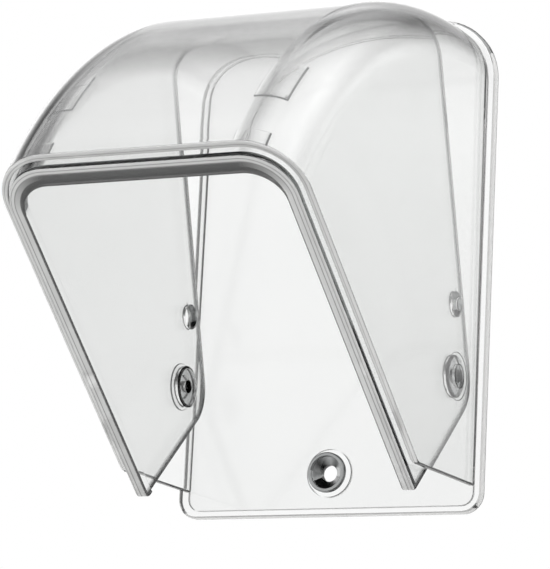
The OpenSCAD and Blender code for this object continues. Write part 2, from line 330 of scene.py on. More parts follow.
def quarter(at, go_in, go_out, r, n=4):
    """Quarter round of radius r at a profile's corner, between its incoming and outgoing unit steps."""
    t = np.linspace(0, math.pi / 2, n + 1)[:, None]
    at, i, o = (np.array(v, float) for v in (at, go_in, go_out))
    return at - r * i * (1 - np.sin(t)) + r * o * (1 - np.cos(t))


def turned(name, profile, turns, place, ring=True):
    """Closed mesh of a profile carried round an axis: place gives a profile point's places all round.

    The profile is a closed ring, or it starts and ends on the axis.
    """
    rings = np.stack([place(p, turns) for p in profile])
    k, n = rings.shape[:2]
    i = np.arange(k * n).reshape(k, n)
    after = np.roll(i, -1, axis=0) if ring else i[1:]
    return solid(name, rings.reshape(-1, 3), np.concatenate([quads(a, b) for a, b in zip(i, after)]))


def round_screw(p, turns):
    """Profile point [kind, offset, y]: a ring of that radius, or the outline kind, drawn in by the offset."""
    kind, offset, y = p
    reach = np.full(len(turns), offset) if kind is None else plate_reach(kind, offset, turns)
    x, z = SCREW[0] + reach * np.cos(turns), SCREW[1] + reach * np.sin(turns)
    return np.stack([x, np.full(len(turns), y), z], 1)


def of_kind(kind, points):
    """Profile points of one kind, from offsets and y."""
    return [(kind, offset, y) for offset, y in points]


plate_profile = (
    of_kind(None, [*quarter((HOLE_R, 0.0), (-1, 0), (0, -1), HOLE_SOFT), *SEAT_CONE,
                   *quarter((SEAT_R, BOSS_FRONT), (0, -1), (1, 0), SEAT_SOFT),
                   *quarter((BOSS_R, BOSS_FRONT), (1, 0), (0, 1), BOSS_SOFT), (BOSS_R, PLATE_FRONT)])
    + of_kind(OUTLINE, [*quarter((0.0, PLATE_FRONT), (-1, 0), (0, 1), FRONT_SOFT, 6),
                        *quarter((0.0, 0.0), (0, 1), (1, 0), BACK_SOFT, 6)])
    + of_kind(RECESS, [(0.0, 0.0), (0.0, RECESS_FLOOR)])
    + of_kind(None, [(RECESS_HOLE_R, RECESS_FLOOR), (RECESS_HOLE_R, 0.0)]))
pad_profile = (of_kind(None, [(PAD_HOLE_R, PAD_BACK), (PAD_HOLE_R, PAD_FRONT)])
               + of_kind(PAD, [(0.0, PAD_FRONT), (0.0, PAD_BACK)]))
TURNS = plate_turns()
plate_mesh = turned("plate", plate_profile, TURNS, round_screw)
pad_mesh = turned("adhesive_film", pad_profile, TURNS, round_screw)


# Discs, holes and pins: a profile carried round an axis along X

# Pads and nubs on the wings: radius, height, how deep the foot is buried, and the rim's rounding
WING_PAD_R, WING_PAD_H, WING_PAD_FOOT, WING_PAD_SOFT = 4.6, 0.25, 0.9, 0.15
NUB_R, NUB_H, NUB_FOOT, NUB_SOFT = 1.3, 0.25, 0.65, 0.2

# Holes: radii and flare, and how far a cutter goes past a wall and past its flare
SHANK_HOLE_R, HUB_HOLE_R, CATCH_HOLE_R, FLARE = 2.3, 3.88, 2.3, 0.25
PAST, HAIR = 1, 0.001

# Pins: the hub, how far it stands out of the leg and clear of the wing's pad, the hollow core and the shank
HUB_R, HUB_OUT, HUB_CLEAR, HUB_SOFT = 3.8, 0.3, 0.02, 0.35
CORE_R, CORE_DEPTH = 1.2, 3.4
SHANK_R, SHANK_SHORT, PIN_SOFT = 2.27, 0.01, 0.2


def half_width(hw, at):
    """A drum's half width at a place: less by the draft's tangent times the distance from the roof's axis."""
    return hw - math.tan(DRAFT) * np.linalg.norm(at - ROOF_AXIS)


def lathe(name, profile, at, sense, n=64):
    """Closed mesh of the profile [x, radius] carried round the axis along X at a place in the side view."""
    def place(p, turns):
        """Circle of a profile point's radius at its x."""
        x, r = p
        y, z = at[0] + r * np.cos(turns), at[1] + r * np.sin(turns)
        return np.stack([np.full(len(turns), sense * x), y, z], 1)
    return turned(name, profile, np.linspace(0, 2 * math.pi, n, endpoint=False), place, ring=False)


def button(name, face, foot, r, soft, at, sense):
    """Low round pad on a wing's inner face, softened at its rim, its foot buried in the wall."""
    rim = quarter((face, r), (-1, 0), (0, -1), soft)
    return lathe(name, [(foot, 0.0), (foot, r), *rim, (face, 0.0)], at, sense)


def bore(name, at, sense, x0, x1, r):
    """Cutter for a hole through a wall from x0 to x1, flared at both faces so that its edges are rounded."""
    t = np.linspace(0, math.pi / 2, 6)
    wide = r + FLARE
    lead = [(x0 - PAST, 0.0), (x0 - PAST, wide), (x0 - HAIR, wide)]
    a = [(x0 + FLARE * (1 - math.cos(v)), r + FLARE * (1 - math.sin(v))) for v in t[1:]]
    b = [(x1 - FLARE * (1 - math.cos(v)), r + FLARE * (1 - math.sin(v))) for v in t[:0:-1]]
    tail = [(x1 + HAIR, wide), (x1 + PAST, wide), (x1 + PAST, 0.0)]
    return lathe(name, lead + a + b + tail, at, sense)


# Spacers on the visor's shoulders: the x they lie between, turn about the roof's axis and length of each, and
# their layers, each its depth under the shoulder's face and how far its sides are drawn in
SPACER_X = (18.0, 23.8)
SPACERS = ((45.6, 11.2), (55.8, 3.6))
SPACER_LAYERS = ((-0.25, 0.16), (-0.21, 0.05), (-0.13, 0.0), (0.9, 0.0))
SPACER_POINTS = 9


def spacer(name, sense, turn, length):
    """Low pad on the visor's shoulder: a closed patch between two drums, two x and two planes of the axis."""
    hw, r, c = VISOR
    core, x_mid = r - c, hw - math.tan(DRAFT) * (r - c) - c / math.cos(DRAFT)
    half = length / r / 2
    th = math.radians(turn) + np.linspace(-half, half, SPACER_POINTS)

    def layer(depth, draw_in):
        """Grid at a depth: straight over the roof, then round the shoulder, carried along the turns."""
        cc = c - depth
        x0, x1 = SPACER_X[0] + draw_in, SPACER_X[1] - draw_in
        bend = np.linspace(math.pi / 2, math.acos((x1 - x_mid) / cc), SPACER_POINTS)[1:]
        prof = np.array([(x0, core + cc), (x_mid, core + cc)]
                        + [(x_mid + cc * math.cos(a), core + cc * math.sin(a)) for a in bend])
        tt = np.clip(th, th[0] + draw_in / r, th[-1] - draw_in / r)
        x, rho = prof[:, 0][:, None], prof[:, 1][:, None]
        y, z = ROOF_AXIS[0] - rho * np.sin(tt), ROOF_AXIS[1] + rho * np.cos(tt)
        return np.stack([sense * x + 0 * tt, y, z], 2)

    grids = [layer(*values) for values in SPACER_LAYERS]
    n, last = grids[0].shape[0] * grids[0].shape[1], len(grids) - 1
    i = np.arange(n).reshape(grids[0].shape[:2])
    sides = [quads(border(i) + k * n, border(i) + (k + 1) * n) for k in range(last)]
    faces = [cells(i), cells(i + last * n)[:, ::-1]] + sides
    return solid(name, np.concatenate([g.reshape(-1, 3) for g in grids]), np.concatenate(faces))


# Pieces
SHARP_FROM = math.radians(32)


def smooth(o):
    """Smooth shading with sharp corners kept, and the wide flats' own normals carried to their edges."""
    o.data.polygons.foreach_set("use_smooth", np.ones(len(o.data.polygons), bool))
    o.data.set_sharp_from_angle(angle=SHARP_FROM)
    o.modifiers.new("flat_normals", "WEIGHTED_NORMAL").keep_sharp = True


def placed(name, me):
    """A new object of the mesh, in the scene."""
    o = bpy.data.objects.new(name, me)
    scene.collection.objects.link(o)
    return o


def piece(o, replaced, body):
    """Finishes a piece: its shading, the CAD node that it stands for and the body that it rides on."""
    smooth(o)
    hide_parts(replaced)
    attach(o, body)
    return o


def moulding(name, base, joined, cut):
    """One mesh from a base mesh with others joined to it and holes cut from it."""
    o = placed(name, base)
    tools = []
    for kind, meshes in (("UNION", joined), ("DIFFERENCE", cut)):
        for me in meshes:
            tools.append(placed(me.name, me))
            mod = o.modifiers.new(me.name, "BOOLEAN")
            mod.operation, mod.solver, mod.object = kind, "EXACT", tools[-1]
    bpy.context.view_layer.update()
    me = bpy.data.meshes.new_from_object(o.evaluated_get(bpy.context.evaluated_depsgraph_get()))
    me.name = name
    o.modifiers.clear()
    o.data = me
    for tool in tools:
        bpy.data.objects.remove(tool)
    return o


# The wing's inner face under the pads and nubs, its outer face, and the visor's inner face, at their axes
seat, nub_face = half_width(HOOD_IN[0], PIVOT) - WING_PAD_H, half_width(HOOD_IN[0], CATCH)
wing_out, leg_in = half_width(HOOD[0], PIVOT), half_width(VISOR_IN[0], PIVOT)

wing_pads = [button("wing_pad", seat, seat + WING_PAD_FOOT, WING_PAD_R, WING_PAD_SOFT, PIVOT, s)
             for s in (-1, 1)]
catch_nubs = [button("catch_nub", nub_face - NUB_H, nub_face + NUB_FOOT, NUB_R, NUB_SOFT, CATCH, s)
              for s in (-1, 1)]
shank_hole = [(seat - PAST, 0.0), (seat - PAST, SHANK_HOLE_R),
              (wing_out + PAST, SHANK_HOLE_R), (wing_out + PAST, 0.0)]
shank_holes = [lathe("shank_hole", shank_hole, PIVOT, s) for s in (-1, 1)]
housing = piece(moulding("housing_moulding", plate_mesh, [hood_mesh] + wing_pads + catch_nubs, shank_holes),
                "housing", "housing")

visor_bores = [bore("visor_hole", at, s, half_width(VISOR_IN[0], at), half_width(VISOR[0], at), r)
               for at, r in ((PIVOT, HUB_HOLE_R), (CATCH, CATCH_HOLE_R)) for s in (-1, 1)]
spacers = [spacer("spacer", s, turn, length) for s in (-1, 1) for turn, length in SPACERS]
visor = piece(moulding("visor_moulding", visor_mesh, spacers, visor_bores), "visor", "visor")

hub_in, hub_end, shank_end = leg_in - HUB_OUT, seat - HUB_CLEAR, wing_out - SHANK_SHORT
pin_profile = [(hub_in + CORE_DEPTH, 0.0), (hub_in + CORE_DEPTH, CORE_R),
               *quarter((hub_in, CORE_R), (-1, 0), (0, 1), PIN_SOFT),
               *quarter((hub_in, HUB_R), (0, 1), (1, 0), HUB_SOFT),
               *quarter((hub_end, HUB_R), (1, 0), (0, -1), PIN_SOFT), (hub_end, SHANK_R),
               *quarter((shank_end, SHANK_R), (1, 0), (0, -1), PIN_SOFT), (shank_end, 0.0)]
pins = [piece(placed("pin_" + side, lathe("pin_" + side, pin_profile, PIVOT, s)), "pivot_pin_" + side,
              "housing") for side, s in (("left", -1), ("right", 1))]
pad = piece(placed("adhesive_film", pad_mesh), "adhesive_pad", "housing")


# Finishes: the plastic, and the moulded surface's noise scales, gains and shifts, and the hairs' stretch
CLEAR_IOR, ABSORB, PIN_ABSORB = 1.49, 6.0, 60.0
BROAD, FINE, FINE_SHARE = 26.0, 120.0, 0.15
CAST_GAIN = (3.0, -1.0)
HAIRS, HAIR_GAIN, HAIR_STRETCH = 90.0, (9.0, -5.4), (40.0, 34.0, 1.0)
PATCHES, PATCH_GAIN = 55.0, (5.0, -2.6)


def socket(node, name, value):
    """Sets a node's input by its name."""
    node.inputs[name].default_value = value


def group(name, inputs, outputs):
    """An empty node group with named inputs, each a kind and a default, and named outputs."""
    g = bpy.data.node_groups.new(name, "ShaderNodeTree")
    for label, kind, value in inputs:
        s = g.interface.new_socket(name=label, in_out="INPUT", socket_type=kind)
        s.default_value = value
    for label, kind in outputs:
        g.interface.new_socket(name=label, in_out="OUTPUT", socket_type=kind)
    return g, g.nodes.new("NodeGroupInput"), g.nodes.new("NodeGroupOutput")


def use_group(tree, g, values):
    """A node group placed in a material, with its own values."""
    n = tree.nodes.new("ShaderNodeGroup")
    n.node_tree = g
    for label, value in values.items():
        socket(n, label, value)
    return n


def math_node(tree, operation, a, b=None, c=None, clamp=False):
    """A math node whose inputs are sockets or numbers."""
    n = tree.nodes.new("ShaderNodeMath")
    n.operation, n.use_clamp = operation, clamp
    for k, v in enumerate((a, b, c)):
        if v is None:
            continue
        if isinstance(v, (int, float)):
            n.inputs[k].default_value = v
        else:
            tree.links.new(v, n.inputs[k])
    return n.outputs[0]


def hypotenuse(tree, a, b):
    """Root of the sum of two squares."""
    squares = math_node(tree, "ADD", math_node(tree, "MULTIPLY", a, a), math_node(tree, "MULTIPLY", b, b))
    return math_node(tree, "SQRT", squares)


def on_piece(tree):
    """The point on the piece, in metres."""
    return tree.nodes.new("ShaderNodeTexCoord").outputs["Object"]


def xyz(tree, vector):
    """A vector's X, Y and Z."""
    s = tree.nodes.new("ShaderNodeSeparateXYZ")
    tree.links.new(vector, s.inputs["Vector"])
    return s.outputs["X"], s.outputs["Y"], s.outputs["Z"]


def noise(tree, at, scale, detail, rough=0.5):
    """Noise from 0 to 1, of a scale for each metre."""
    n = tree.nodes.new("ShaderNodeTexNoise")
    socket(n, "Scale", scale)
    socket(n, "Detail", detail)
    socket(n, "Roughness", rough)
    tree.links.new(at, n.inputs["Vector"])
    return n.outputs["Fac"]


def stretched(tree, at, scale):
    """The coordinates stretched by a Mapping node."""
    n = tree.nodes.new("ShaderNodeMapping")
    socket(n, "Scale", scale)
    tree.links.new(at, n.inputs["Vector"])
    return n.outputs["Vector"]


def mix_color(tree, share, a, b, blend="MIX"):
    """Two colours mixed by a share, or multiplied; each is a socket or a plain value."""
    n = tree.nodes.new("ShaderNodeMix")
    n.data_type, n.blend_type = "RGBA", blend
    for s, v in ((n.inputs["Factor"], share), (n.inputs[6], a), (n.inputs[7], b)):
        if isinstance(v, (tuple, float, int)):
            s.default_value = v
        else:
            tree.links.new(v, s)
    return n.outputs[2]


def grey_ramp(tree, value, stops, reach=None):
    """Greys along a value, from places and greys; with a reach, both are divided by it first."""
    if reach:
        value, stops = math_node(tree, "DIVIDE", value, reach), [(at / reach, grey) for at, grey in stops]
    ramp = tree.nodes.new("ShaderNodeValToRGB")
    tree.links.new(value, ramp.inputs["Fac"])
    els = ramp.color_ramp.elements
    while len(els) < len(stops):
        els.new(0.5)
    for e, (at, grey) in zip(els, stops):
        e.position, e.color = at, (grey, grey, grey, 1.0)
    return ramp.outputs["Color"]


def moulded_surface():
    """Moulded clear plastic: a cast that drifts over the piece, a soft wave from the mould, hair-fine scuffs.

    Cast: two tints mixed by a broad noise. Wave: that noise plus a finer one, as a height.
    Scuffs: a noise stretched forty to one, cut off where it is weak, and left only in patches.
    """
    g, i, o = group("moulded_surface",
                    [("Cast", "NodeSocketColor", (1, 1, 1, 1)), ("Drift", "NodeSocketColor", (1, 1, 1, 1)),
                     ("Roughness", "NodeSocketFloat", 0.0), ("Scuffs", "NodeSocketFloat", 0.1)],
                    [("Color", "NodeSocketColor"), ("Roughness", "NodeSocketFloat"),
                     ("Height", "NodeSocketFloat")])
    at = on_piece(g)
    broad, fine = noise(g, at, BROAD, detail=2.0), noise(g, at, FINE, detail=1.0)
    share = math_node(g, "MULTIPLY_ADD", broad, *CAST_GAIN, clamp=True)
    g.links.new(mix_color(g, share, i.outputs["Cast"], i.outputs["Drift"]), o.inputs["Color"])
    hair = noise(g, stretched(g, at, HAIR_STRETCH), HAIRS, detail=3.0, rough=0.7)
    line = math_node(g, "MULTIPLY_ADD", hair, *HAIR_GAIN, clamp=True)
    patchy = math_node(g, "MULTIPLY_ADD", noise(g, at, PATCHES, detail=2.0), *PATCH_GAIN, clamp=True)
    scuff = math_node(g, "MULTIPLY", math_node(g, "MULTIPLY", line, patchy), i.outputs["Scuffs"])
    g.links.new(math_node(g, "ADD", scuff, i.outputs["Roughness"]), o.inputs["Roughness"])
    g.links.new(math_node(g, "MULTIPLY_ADD", fine, FINE_SHARE, broad), o.inputs["Height"])
    return g


# The turn that the plate is given, and the y from which the walls stand in front of it, in millimetres
PLATE_TURN, WALLS_FROM = 0.95, -2.1
DRUM = ("Half Width", "Roof Radius", "Shoulder")


def wall_depth():
    """Where a point lies in the hood or visor: its depth under the outer face in millimetres, turn and rise.

    The section is a rounded box about the roof's axis: depth is the shoulder radius less the distance to the
    box's core, measured over the half width, which the draft narrows, and over the distance from the axis.
    Turn is the angle of that distance, 0 on the roof, 1 on the sides and PLATE_TURN on the plate. Rise is the
    cosine of the roof's own angle, 1 straight above the axis, and 0 on the plate.
    """
    g, i, o = group("wall_depth", [(label, "NodeSocketFloat", v) for label, v in zip(DRUM, HOOD)],
                    [("Depth", "NodeSocketFloat"), ("Turn", "NodeSocketFloat"), ("Rise", "NodeSocketFloat")])
    half, roof, shoulder = (i.outputs[label] for label in DRUM)
    at_x, at_y, at_z = xyz(g, on_piece(g))
    x = math_node(g, "MULTIPLY", math_node(g, "ABSOLUTE", at_x), 1 / MM)
    y = math_node(g, "MULTIPLY_ADD", at_y, 1 / MM, -ROOF_AXIS[0])
    z = math_node(g, "MULTIPLY", at_z, 1 / MM)
    rho = hypotenuse(g, y, z)
    hw = math_node(g, "MULTIPLY_ADD", rho, -math.tan(DRAFT), half)
    across = math_node(g, "MAXIMUM", math_node(g, "SUBTRACT", x, math_node(g, "SUBTRACT", hw, shoulder)), 0.0)
    core = math_node(g, "SUBTRACT", roof, shoulder)
    over = math_node(g, "MAXIMUM", math_node(g, "SUBTRACT", rho, core), 0.0)
    g.links.new(math_node(g, "SUBTRACT", shoulder, hypotenuse(g, across, over)), o.inputs["Depth"])
    angle = math_node(g, "ARCTAN2", across, math_node(g, "MAXIMUM", over, 0.001))
    in_wall = math_node(g, "LESS_THAN", at_y, WALLS_FROM * MM)
    turn = math_node(g, "MULTIPLY_ADD", angle, 2.0 / math.pi, -PLATE_TURN)
    g.links.new(math_node(g, "MULTIPLY_ADD", turn, in_wall, PLATE_TURN), o.inputs["Turn"])
    g.links.new(math_node(g, "MULTIPLY", math_node(g, "DIVIDE", z, rho), in_wall), o.inputs["Rise"])
    return g


def leg_depth():
    """How far a point lies inside the visor's back and low lines and the lobe between them, in millimetres.

    It is the lobe's radius less the largest of five distances from the pivot, each along one heading from the
    back line's to the low line's.
    """
    g, _, o = group("leg_depth", [], [("Depth", "NodeSocketFloat")])
    _, at_y, at_z = xyz(g, on_piece(g))
    farthest = None
    for step_y, step_z in (heading(a) for a in np.linspace(BACK_LEAN, -STOP_LEAN, 5)):
        from_pivot = -float(np.dot(PIVOT, (step_y, step_z)))
        up = math_node(g, "MULTIPLY_ADD", at_z, float(step_z) / MM, from_pivot)
        far = math_node(g, "MULTIPLY_ADD", at_y, float(step_y) / MM, up)
        farthest = far if farthest is None else math_node(g, "MAXIMUM", farthest, far)
    g.links.new(math_node(g, "SUBTRACT", LOBE_R, farthest), o.inputs["Depth"])
    return g


MOULDED = moulded_surface()
DEPTH = wall_depth()
LEG = leg_depth()


def new_material(name):
    """A material with nodes, its output, and a Principled shader in it."""
    m = bpy.data.materials.new(name)
    m.use_nodes = True
    m.node_tree.nodes.clear()
    out = m.node_tree.nodes.new("ShaderNodeOutputMaterial")
    shader = m.node_tree.nodes.new("ShaderNodeBsdfPrincipled")
    m.node_tree.links.new(shader.outputs["BSDF"], out.inputs["Surface"])
    return m, m.node_tree, shader, out


# Heights of the mould's wave in metres: on the walls, on small parts and the film, and on satin edges
WALL_WAVE, SMALL_WAVE, SATIN_WAVE = 0.000004, 0.00001, 0.00002


def clear_plastic(name, cast, drift, wave, rough=0.0, scuffs=0.1, absorb=ABSORB, through=1.0):
    """Clear plastic: the moulded surface's cast, scuffs and wave on a smooth body that absorbs a little."""
    m, tree, shader, out = new_material(name)
    socket(shader, "IOR", CLEAR_IOR)
    socket(shader, "Transmission Weight", through)
    skin = use_group(tree, MOULDED, {"Cast": cast, "Drift": drift, "Roughness": rough, "Scuffs": scuffs})
    tree.links.new(skin.outputs["Color"], shader.inputs["Base Color"])
    tree.links.new(skin.outputs["Roughness"], shader.inputs["Roughness"])
    bump = tree.nodes.new("ShaderNodeBump")
    socket(bump, "Strength", 1.0)
    socket(bump, "Distance", wave)
    tree.links.new(skin.outputs["Height"], bump.inputs["Height"])
    tree.links.new(bump.outputs["Normal"], shader.inputs["Normal"])
    vol = tree.nodes.new("ShaderNodeVolumeAbsorption")
    socket(vol, "Color", (0.0, 0.0, 0.0, 1.0))
    socket(vol, "Density", absorb)
    tree.links.new(vol.outputs["Volume"], out.inputs["Volume"])
    return m, tree, shader, skin


def place_in_wall(tree, sizes):
    """The wall_depth group set to a moulding's half width, roof radius and shoulder."""
    return use_group(tree, DEPTH, dict(zip(DRUM, sizes)))


def cut_edge_painted_lines(name, sizes, rough, dark, lines, roof_shade_lines=None):
    """A moulding's edge at the mouth: satin plastic with fine painted shade lines at set depths under its
    outer face.
    """
    m, tree, shader, skin = clear_plastic(name, CUT_LIGHT, CUT_LIGHT, SATIN_WAVE, rough, through=0.5)
    place = place_in_wall(tree, sizes)
    # Painted shade: dark lines at set depths, mixed into the edge's colour
    share = grey_ramp(tree, place.outputs["Depth"], lines, LINE_REACH)
    if roof_shade_lines:
        on_roof = grey_ramp(tree, place.outputs["Depth"], roof_shade_lines, LINE_REACH)
        share = mix_color(tree, place.outputs["Turn"], on_roof, share)
    tree.links.new(mix_color(tree, share, skin.outputs["Color"], dark), shader.inputs["Base Color"])
    return m


def roof_light_and_shade(parts, sizes, shade_streaks, top_shade=None):
    """Painted light and shade: a lighter roof than the sides, and painted shade in streaks at the shoulders
    and on its top.
    """
    m, tree, shader, skin = parts
    place = place_in_wall(tree, sizes)
    # Painted light: the roof and shoulders get a lighter cast than the sides
    lit_share = grey_ramp(tree, place.outputs["Turn"], ROOF_LIGHT_SHARE)
    cast = mix_color(tree, lit_share, skin.outputs["Color"], ROOF_PAINTED_LIGHT)
    # Painted shade: darker streaks over the turn, and a darker top over the rise
    painted_shade = grey_ramp(tree, place.outputs["Turn"], shade_streaks)
    if top_shade:
        painted_shade = mix_color(tree, 1.0, painted_shade, grey_ramp(tree, place.outputs["Rise"], top_shade), "MULTIPLY")
    painted_shade = mix_color(tree, lit_share, WHITE, painted_shade)
    tree.links.new(mix_color(tree, 1.0, cast, painted_shade, "MULTIPLY"), shader.inputs["Base Color"])
    return m


def outline_painted_shade(parts, stops):
    """Painted reflection: deepens the cast along the visor's back and low lines, standing in for its cut edge
    mirrored in the wall.
    """
    _, tree, shader, _ = parts
    cast = shader.inputs["Base Color"].links[0].from_socket
    # Painted shade, darkest at the visor's outline
    painted_shade = grey_ramp(tree, use_group(tree, LEG, {}).outputs["Depth"], stops, LEG_REACH)
    tree.links.new(mix_color(tree, 1.0, cast, painted_shade, "MULTIPLY"), shader.inputs["Base Color"])


def plate_rim_shade_line(name, light, dark, stops):
    """The plate's narrow sides: light satin plastic with a painted shade line by the wall."""
    m, tree, shader, skin = clear_plastic(name, light, light, SATIN_WAVE, rough=0.15, through=0.5)
    _, at_y, _ = xyz(tree, on_piece(tree))
    # Painted shade: a dark line along the plate's side by the wall
    share = grey_ramp(tree, math_node(tree, "MULTIPLY", at_y, -1.0 / MM), stops, RIM_REACH)
    tree.links.new(mix_color(tree, share, skin.outputs["Color"], dark), shader.inputs["Base Color"])
    return m


# Casts of the clear walls, pins and film, each with what it drifts to, and the roof's painted light
HOOD_CAST, HOOD_DRIFT = (0.94, 0.945, 0.941, 1.0), (0.95, 0.953, 0.95, 1.0)
VISOR_CAST, VISOR_DRIFT = (0.885, 0.89, 0.886, 1.0), (0.9, 0.905, 0.901, 1.0)
# The pins' dark cast is painted shade
PIN_SHADED_CAST, PIN_SHADED_DRIFT = (0.5, 0.51, 0.51, 1.0), (0.62, 0.63, 0.63, 1.0)
FILM_CAST, FILM_DRIFT = (0.98, 0.983, 0.981, 1.0), (0.99, 0.992, 0.99, 1.0)
ROOF_PAINTED_LIGHT, WHITE = (0.995, 0.996, 0.995, 1.0), (1.0, 1.0, 1.0, 1.0)

# Greys of the edges: light plastic, painted shade lines in it, and edges darkened all over by painted shade
CUT_LIGHT, HOOD_SHADE_LINE, VISOR_SHADE_LINE = (0.99, 0.99, 0.985, 1.0), (0.3, 0.3, 0.3, 1.0), (0.03, 0.03, 0.03, 1.0)
PLATE_LIGHT, PLATE_SHADE = (0.98, 0.98, 0.975, 1.0), (0.95, 0.95, 0.945, 1.0)
PLATE_SHADE_LINE = (0.07, 0.07, 0.07, 1.0)
# Edges of the housing, visor and pins darkened all over: painted shade
HOUSING_EDGE_SHADE, HOUSING_EDGE_SHADE_DRIFT = (0.22, 0.23, 0.23, 1.0), (0.32, 0.33, 0.33, 1.0)
VISOR_EDGE_SHADE, VISOR_EDGE_SHADE_DRIFT = (0.12, 0.13, 0.13, 1.0), (0.2, 0.21, 0.21, 1.0)
PIN_EDGE_SHADE, PIN_EDGE_SHADE_DRIFT = (0.05, 0.05, 0.05, 1.0), (0.09, 0.09, 0.09, 1.0)

# How deep the painted shade lines reach, in millimetres: in a wall's section, inside the visor's outline, on
# the plate
LINE_REACH, LEG_REACH, RIM_REACH = 4.0, 2.0, 2.5

# Stops over turn and rise: the share of the roof's painted light, and how light the painted shade streaks and
# high roof are
ROOF_LIGHT_SHARE = [(0.0, 1.0), (0.72, 1.0), (0.97, 0.0)]
HOOD_SHADE_STREAKS = [(0.0, 1.0), (0.04, 0.72), (0.1, 0.9), (0.22, 1.0), (0.6, 1.0), (0.78, 0.8), (0.9, 0.95),
                (1.0, 1.0)]
HOOD_TOP_SHADE = [(0.0, 1.0), (0.8, 1.0), (0.9, 0.97), (0.955, 0.86), (1.0, 0.84)]
VISOR_SHADE_STREAKS = [(0.0, 1.0), (0.05, 0.84), (0.14, 0.93), (0.28, 1.0), (0.7, 1.0), (0.85, 0.92), (1.0, 1.0)]

# Stops over depth: painted shade inside the visor's outline, and the share of painted shade in each edge's
# lines
LEG_SHADE_STOPS = [(0.0, 0.1), (0.6, 0.2), (1.2, 1.0)]
HOOD_SHADE_LINES = [(0.0, 0.35), (0.15, 0.0), (0.5, 0.0), (0.58, 0.8), (0.72, 0.0), (1.1, 0.0), (1.25, 0.7),
              (4.0, 0.7)]
VISOR_SHADE_LINES = [(0.0, 0.1), (0.35, 0.1), (0.42, 0.7), (0.55, 0.0), (1.0, 0.0), (1.08, 0.75), (1.3, 0.05),
               (2.05, 0.05), (2.25, 0.9), (3.0, 0.98), (3.6, 0.9), (3.8, 0.4)]
ROOF_SHADE_LINES = [(0.0, 0.1), (0.35, 0.1), (0.42, 0.7), (0.55, 0.0), (0.9, 0.0), (1.0, 0.5), (1.3, 0.9),
              (3.6, 0.97), (3.8, 0.6)]
PLATE_SHADE_LINES = [(0.0, 0.9), (0.55, 0.9), (0.75, 0.0), (1.6, 0.0), (1.9, 0.35), (2.1, 0.35)]

hood_parts = clear_plastic("clear_moulding", HOOD_CAST, HOOD_DRIFT, WALL_WAVE)
shell_clear = roof_light_and_shade(hood_parts, HOOD, HOOD_SHADE_STREAKS, HOOD_TOP_SHADE)
visor_parts = clear_plastic("clear_visor", VISOR_CAST, VISOR_DRIFT, WALL_WAVE)
visor_clear = roof_light_and_shade(visor_parts, VISOR, VISOR_SHADE_STREAKS)
outline_painted_shade(visor_parts, LEG_SHADE_STOPS)
pin_clear, *_ = clear_plastic("clear_pin", PIN_SHADED_CAST, PIN_SHADED_DRIFT, SATIN_WAVE, rough=0.02, scuffs=0.2,
                              absorb=PIN_ABSORB)
film, *_ = clear_plastic("adhesive_film", FILM_CAST, FILM_DRIFT, SMALL_WAVE, scuffs=0.2)
hood_edge_shade_lines = cut_edge_painted_lines("hood_edge_shade_lines", HOOD, 0.2, HOOD_SHADE_LINE, HOOD_SHADE_LINES)
visor_edge_shade_lines = cut_edge_painted_lines("visor_edge_shade_lines", VISOR, 0.12, VISOR_SHADE_LINE, VISOR_SHADE_LINES, ROOF_SHADE_LINES)
plate_edge_shade_line = plate_rim_shade_line("plate_edge_shade_line", PLATE_LIGHT, PLATE_SHADE_LINE, PLATE_SHADE_LINES)
recess_edge, *_ = clear_plastic("recess_edge", PLATE_LIGHT, PLATE_SHADE, SATIN_WAVE, rough=0.3, through=0.25)
# Painted shade: dark edges of the housing, visor and pins
housing_edge_shade, *_ = clear_plastic("housing_edge_shade", HOUSING_EDGE_SHADE, HOUSING_EDGE_SHADE_DRIFT, SMALL_WAVE, 0.03, 0.2)
visor_side_edge_shade, *_ = clear_plastic("visor_side_edge_shade", VISOR_EDGE_SHADE, VISOR_EDGE_SHADE_DRIFT, SMALL_WAVE, 0.03, 0.2)
pin_edge_shade, *_ = clear_plastic("pin_edge_shade", PIN_EDGE_SHADE, PIN_EDGE_SHADE_DRIFT, SMALL_WAVE, 0.03, 0.2, absorb=PIN_ABSORB)

# Limits between a moulding's faces, in millimetres: the mouth's cut edge, the plate, the screw's seat, the
# recess in the plate's back, the plate's border, and rings about the pivot, the catch and the screw
MOUTH_NEAR, PLATE_FACE, SEAT_FACE, RECESS_FACE, BORDER = 0.3, -2.05, -1.15, -0.85, 1.0
PIVOT_RING, CATCH_RING, SEAT_RING, HOLE_RING = 5.2, 3.4, 3.2, 5.0

# How far an edge's face turns away from its wall, from a pin's axis, and the film's side from its face
WALL_TURN, PIN_TURN, FILM_TURN = math.cos(math.radians(10)), math.cos(math.radians(25)), 0.7


def face_values(o, what):
    """A value of three numbers for each face of a piece, such as its centre or normal."""
    values = np.empty(len(o.data.polygons) * 3, np.float32)
    o.data.polygons.foreach_get(what, values)
    return values.reshape(-1, 3)


def set_looks(o, kind, *looks):
    """Adds materials to a piece, and gives each face the one of its kind; 0 is the piece's own."""
    for m in looks:
        o.data.materials.append(m)
    o.data.polygons.foreach_set("material_index", kind.astype(np.int32))


def wall_normals(c, sizes):
    """Unit normals of the rounded box about the roof's axis at the faces' centres: away from its core."""
    hw, r, shoulder = sizes
    radial = c[:, 1:] - ROOF_AXIS
    rho = np.maximum(np.linalg.norm(radial, axis=1), 1e-6)
    across = np.maximum(np.abs(c[:, 0]) - (hw - math.tan(DRAFT) * rho - shoulder), 0) * np.sign(c[:, 0])
    over = np.maximum(rho - (r - shoulder), 0)
    wall = np.concatenate([across[:, None], radial / rho[:, None] * over[:, None]], 1)
    return wall / np.maximum(np.linalg.norm(wall, axis=1), 1e-6)[:, None]


